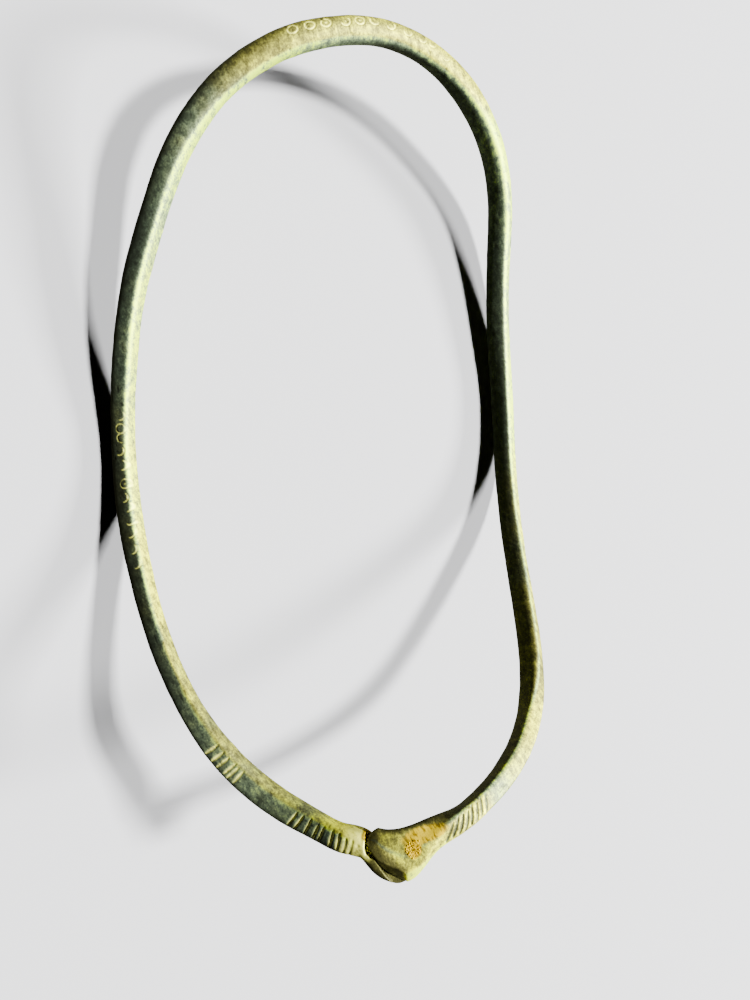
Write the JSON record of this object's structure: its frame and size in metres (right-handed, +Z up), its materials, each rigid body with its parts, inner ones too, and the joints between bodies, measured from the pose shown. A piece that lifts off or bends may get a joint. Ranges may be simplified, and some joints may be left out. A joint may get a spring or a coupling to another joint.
{
  "type": "bronze anklet",
  "caption": "Open-ended bronze leg ring: a square rod bent into a long loop, its flattened end lying over the other end, with punched rings and short cuts.",
  "frame": {"origin": "middle of the loop, on the surface it lies on", "axes": "+Z up from the surface; +Y along the loop, from the lapped ends towards the back; +X towards the arm that ends in the plate"},
  "size_m": [0.0744, 0.1266, 0.0373],
  "materials": {
    "bronze": "old bronze with a mottled olive and yellow-green patina, rubbed pale on its edges"
  },
  "bodies": {
    "root": {"anklet_rod": "bronze"}
  },
  "joints": []
}
